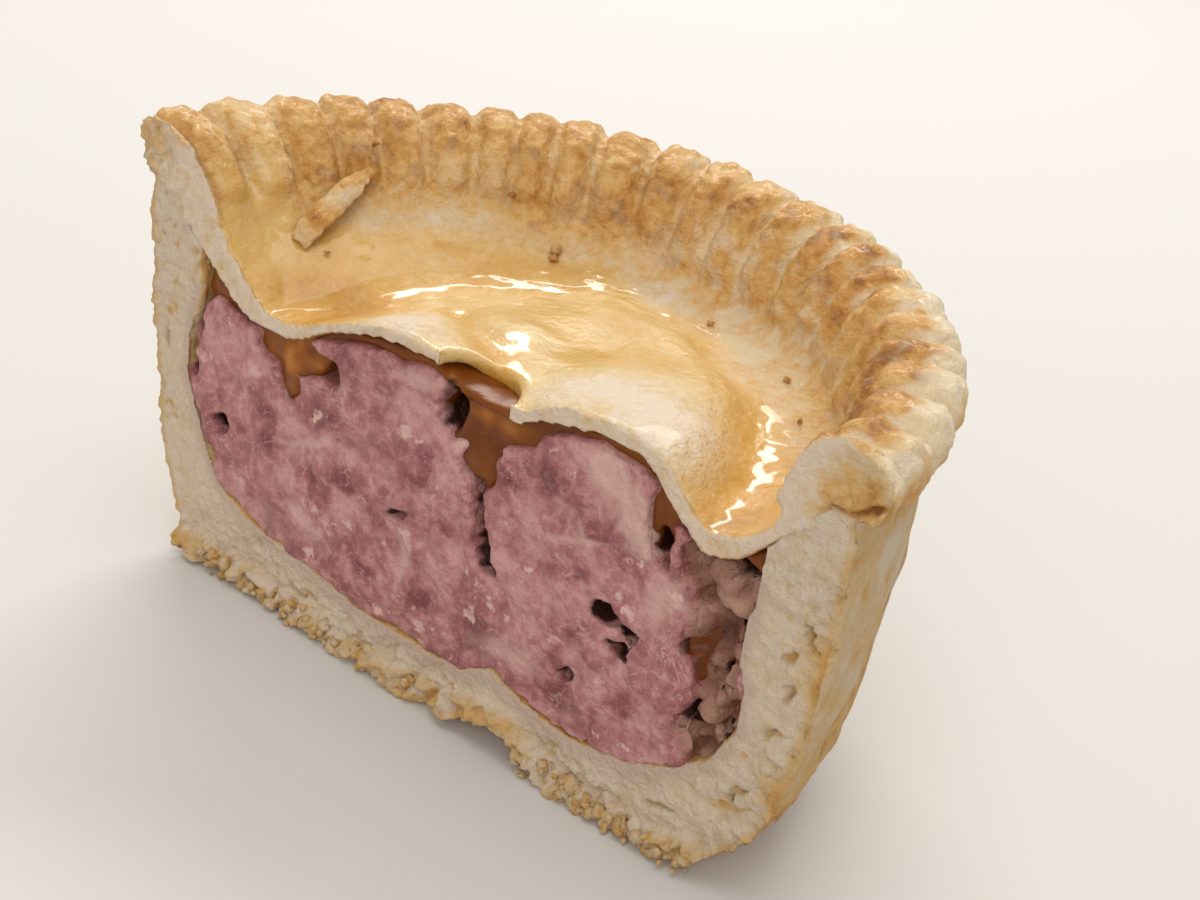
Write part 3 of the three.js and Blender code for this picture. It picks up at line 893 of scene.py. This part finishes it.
reach = radius + 2.4 * lumps(p, 6, 40) - 4 * ease(turn, 0.7, 0.2) + 4 * powdery
reach -= 5 * ease(turn, 2.6, 3.0)
dull = ease(reach, 31.5, 35.5) * (1 - rim)
away, pick = clumps(p, 1.9, 43)
blister = 0.35 * ease(away, 0.6, 0.2) * ease(pick, 0.4, 0.9)
relief = rim * (mixed(p, CRIMP_LUMPS) + blister - 0.12)
relief += rim * 0.12 * lumps(p, 0.7, 56)
relief += dull * mixed(p, DULL_LUMPS)
wrinkled = 0.06 + 0.12 * ease(radius, 22, 30)
relief += (1 - dull) * (1 - rim) * (0.30 * lumps(p, 6, 46) + wrinkled * lumps(p, 2.4, 54))
relief += (1 - dull) * (1 - rim) * 0.07 * ease(radius, 23, 28) * lumps(p, 1.2, 59)
p += n * (relief * (1 - face))[:, None]
edge = ease(y, 1.2, 0.3)
torn, gap_shade = crumb_relief(x, z, np.where(radius > 38, 0.8, 0.5) + 1.2 * ease(x, -38, -44))
hollow_end = inside(x, z, [HOLLOW_END], 0.35, 50) * ease(x, 0, 1)
crevice = inside(x, z, CREVICES, 0.5, 52)
p[:, 1] += edge * (CUT - 0.06 + torn + 0.6 * hollow_end + 0.7 * crevice * ease(x, 0, 1))
move_to(lid, p)

# Browning: the crimps are golden with floury lips, the mounds stay pale, and low parts are amber
# under the glaze. The grooves between the crimps, the skirt under their lower ends, the gaps of the
# knifed crumb and the crevices at the rim's cut end are darkened with painted shade. "along" runs
# over each crimp, from its lip to its lower end inside.
along = np.arctan2(z - RIM_MIDDLE[1], radius - RIM_MIDDLE[0])
along = np.mod(along + math.radians(29), 2 * math.pi) / math.radians(252)
from_middle, lobe = crimped(turn, along)
groove = ease(from_middle, 0.55, 0.95) * rim
patch = 0.5 + 0.5 * lumps(p, 8, 47)
fine_noise = lumps(p, 1.5, 48)
own = np.array(lobe_size)[lobe]
near_end = ease(x, -15, 25)
outer = ease(along, 0.36 + 0.16 * near_end, 0.16 + 0.16 * near_end)
outer *= 0.15 + 0.85 * ease(along, 0.10, 0.30)
crest = (1 - outer) * ease(from_middle, 0.95, 0.45)
rim_bake_and_shade = 0.31 + 0.27 * crest + 0.34 * (patch - 0.5) + 0.25 * fine_noise + 0.07 * own
# The grooves between the crimps are painted browner: painted shade.
rim_bake_and_shade += 0.08 * ease(along, 0.6, 0.9) * crest + (0.05 + 0.22 * groove) * (1 - near_end)
rim_bake_and_shade += 0.06 * groove * near_end - 0.16 * outer + 0.10 * crest * near_end
sheet_bake = 0.49 + 0.20 * ease(z, 39.4, 37.0) + browner + 0.14 * lumps(p, 6, 49)
sheet_bake += 0.14 * ease(radius, 24, 30)
# The skirt is painted browner towards the crimps' lower ends: painted shade under the toes.
dull_bake_and_shade = 0.34 + 0.14 * fine_noise + 0.4 * (patch - 0.5) + 0.25 * ease(radius, 34, 38)
dull_bake_and_shade -= 0.12 * powdery
bake_and_shade = sheet_bake + (dull_bake_and_shade - sheet_bake) * dull
bake_and_shade = bake_and_shade + (rim_bake_and_shade - bake_and_shade) * rim
# The knifed face is painted darker in the gaps of its crumb and in the crevices: painted shade.
knifed = 0.03 + 0.06 * fine_noise + 0.3 * gap_shade
knifed = knifed + (0.50 + 0.16 * lumps(p, 2.4, 57)) * hollow_end + 0.45 * crevice
knifed += 0.34 * ease(x, -43, -46.5) * ease(z, 44, 48) * (0.6 + 0.4 * fine_noise)
note(lid, "bake_and_shade", bake_and_shade + (knifed - bake_and_shade) * face)
glaze = (1 - dull) * (1 - rim * 0.75) * (1 - face) * (0.85 + 0.3 * lumps(p, 4, 55))
glaze *= 1 - 0.75 * ease(browner, -0.08, -0.34)
note(lid, "glaze", glaze)
floury = 0.8 * lumps(p, 3.5, 53) + 0.6 * fine_noise + 0.7 * groove + 0.6 * outer - 0.5 * crest
floury = ease(floury, -0.05, 0.75) * rim * (0.2 + 0.8 * near_end)
dusted = dull * (0.25 + 0.45 * powdery) * ease(fine_noise + 0.5 * lumps(p, 3.5, 58), -0.3, 0.6)
note(lid, "flour", (0.8 * floury + dusted) * (1 - face))

# Colours of pastry under the egg glaze.
GLAZED = [
    (0.0, seen(236, 222, 198)),
    (0.25, seen(224, 202, 154)),
    (0.5, seen(208, 172, 102)),
    (0.75, seen(206, 156, 64)),
    (1.0, seen(172, 116, 38)),
]

LID_FLOUR = seen(240, 222, 188)

lid_crust, tree, shader = new_material("lid_crust")
grains = add_grain(tree, 1.0)
gloss = noted(tree, "glaze")
spread = sum_of(tree, "MULTIPLY_ADD", gloss, -0.55, 0.75)
bake_and_shade = sum_of(tree, "MULTIPLY_ADD", grains["Blotch"], 1.0, -0.5)
bake_and_shade = sum_of(tree, "MULTIPLY", bake_and_shade, spread)
bake_and_shade = sum_of(tree, "ADD", bake_and_shade, noted(tree, "bake_and_shade"))
flecks = sum_of(tree, "MULTIPLY_ADD", grains["Fleck"], 1.3, -0.65)
flecks = sum_of(tree, "MULTIPLY", flecks, spread)
bake_and_shade = sum_of(tree, "ADD", bake_and_shade, flecks)
colour = blend(tree, gloss, ramp(tree, bake_and_shade, BAKED), ramp(tree, bake_and_shade, GLAZED))
colour = blend(tree, noted(tree, "flour"), colour, LID_FLOUR)
tree.links.new(colour, shader.inputs["Base Color"])
rough = sum_of(tree, "MULTIPLY_ADD", gloss, -0.46, 0.66)
tree.links.new(rough, shader.inputs["Roughness"])
coat = sum_of(tree, "MULTIPLY", gloss, 0.7)
tree.links.new(coat, shader.inputs["Coat Weight"])
shader.inputs["Coat Roughness"].default_value = 0.08
soften(shader, 0.10, (1.0, 0.6, 0.3), 0.0010)
matt = sum_of(tree, "MULTIPLY_ADD", gloss, -0.9, 1.0)
height = sum_of(tree, "MULTIPLY", grains["Height"], matt)
ripple = sum_of(tree, "MULTIPLY", grains["Blotch"], 0.6)
height = sum_of(tree, "ADD", height, ripple)
tree.links.new(add_bump(tree, height, 1.0, 0.0009), shader.inputs["Normal"])
lid.data.materials.append(lid_crust)
into_frame(lid)
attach(lid, "root")
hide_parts("pastry_lid")

# ---- Loose crumbs and a flake ---------------------------------------------------------------
# Crumbs of the base that the knife broke off and left hanging along its foot, a few on the
# lid, and one long flake of crust that came off the crimps and leans on the lid.

CRUMBS = 300
CRUMB_SIZE = (0.25, 1.0)
FOOT_REACH = (-39, 37)  # across the cut
BARE_FOOT = (-1, 14)  # where the base stands clear and holds no crumbs
# On the lid: across, back, size.
LID_CRUMBS = [
    (-12.6, 30.4, 0.85), (-12.0, 29.4, 0.5), (-29.0, 10.5, 0.35), (-33.0, 21.0, 0.5),
    (9.0, 31.5, 0.4), (22.0, 27.5, 0.45), (27.5, 22.0, 0.35), (-20.5, 31.0, 0.4),
]

chance = random.Random(11)
places = []
for _ in range(CRUMBS):
    size = CRUMB_SIZE[0] + (CRUMB_SIZE[1] - CRUMB_SIZE[0]) * chance.random() ** 2
    across = chance.uniform(*FOOT_REACH)
    back = chance.uniform(size + FOOT_FRONT, 0.2)
    up = chance.uniform(0.7 * size, 2.6)
    if not BARE_FOOT[0] < across < BARE_FOOT[1]:
        places.append((size, Vector((across, back, up))))
lid_points = points_of(lid) * 1000 - np.array(AXIS)
for across, back, size in LID_CRUMBS:
    near = np.hypot(lid_points[:, 0] - across, lid_points[:, 1] - back) < 0.5
    places.append((size, Vector((across, back, lid_points[near, 2].max() + 0.5 * size))))
shape = bmesh.new()
bakes = []
sizes = []
for i, (size, at) in enumerate(places):
    crumb = bmesh.ops.create_uvsphere(shape, u_segments=8, v_segments=6, radius=size)["verts"]
    stretch = Vector((chance.uniform(0.8, 1.3), chance.uniform(0.7, 1.0), chance.uniform(0.6, 1.0)))
    tilt = Quaternion((0, 0, 1), chance.uniform(0, 6.3)).to_matrix()
    for point in crumb:
        bump = 1 + 0.28 * math.sin(4.1 * point.co.x / size + i) * math.cos(3.7 * point.co.z / size)
        point.co = at + tilt @ (point.co * bump * stretch)
        bakes.append(0.15 + 0.12 * (i % 4) + chance.uniform(0, 0.1) + 0.3 * (at.z > 10))
        sizes.append(size)
crumbs = bpy.data.objects.new("base_crumbs", bpy.data.meshes.new("base_crumbs"))
shape.to_mesh(crumbs.data)
shape.free()
bpy.context.scene.collection.objects.link(crumbs)
crumbs.data.shade_smooth()
p = points_of(crumbs)
rough = (0.30 * lumps(p, 0.8, 62) + 0.14 * lumps(p, 0.4, 63)) * np.array(sizes)
move_to(crumbs, p + outward_of(crumbs) * rough[:, None])
note(crumbs, "bake_and_shade", np.array(bakes))
crumbs.data.materials.append(case_crust)
into_frame(crumbs)
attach(crumbs, "root")

# The flake lies between its low end on the sheet and its high end on the crimps.
FLAKE_LOW = Vector((-31.6, 8.6, 41.3))
FLAKE_HIGH = Vector((-31.6, 18.4, 47.2))
FLAKE_THICKNESS = 0.6
FLAKE_CELL = 0.2

shape = bmesh.new()
bmesh.ops.create_grid(shape, x_segments=24, y_segments=5, size=1)
along = FLAKE_HIGH - FLAKE_LOW
aside = along.cross(Vector((0.5, -1, 0.6))).normalized()
lift = aside.cross(along).normalized()
for point in shape.verts:
    t = point.co.x / 2 + 0.5
    width = 1.25 * (1 - abs(2 * t - 0.9) ** 3) ** 0.5 if abs(2 * t - 0.9) < 1 else 0.2
    width += 0.12 * math.sin(19 * t) + 0.1 * math.sin(43 * t)
    bow = 0.9 * math.sin(math.pi * t) + 0.25 * math.sin(9 * t) - 0.5 * point.co.y**2
    point.co = FLAKE_LOW + along * t + aside * point.co.y * width + lift * bow
flake = bpy.data.objects.new("lid_flake", bpy.data.meshes.new("lid_flake"))
shape.to_mesh(flake.data)
shape.free()
bpy.context.scene.collection.objects.link(flake)
thick = flake.modifiers.new("thickness", "SOLIDIFY")
thick.thickness = FLAKE_THICKNESS
finished(flake)
fine_skin(flake, FLAKE_CELL)
p = points_of(flake)
move_to(flake, p + outward_of(flake) * (0.14 * lumps(p, 0.9, 60))[:, None])
note(flake, "bake_and_shade", 0.42 + 0.3 * lumps(p, 2.2, 61))
flake.data.materials.append(lid_crust)
into_frame(flake)
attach(flake, "root")
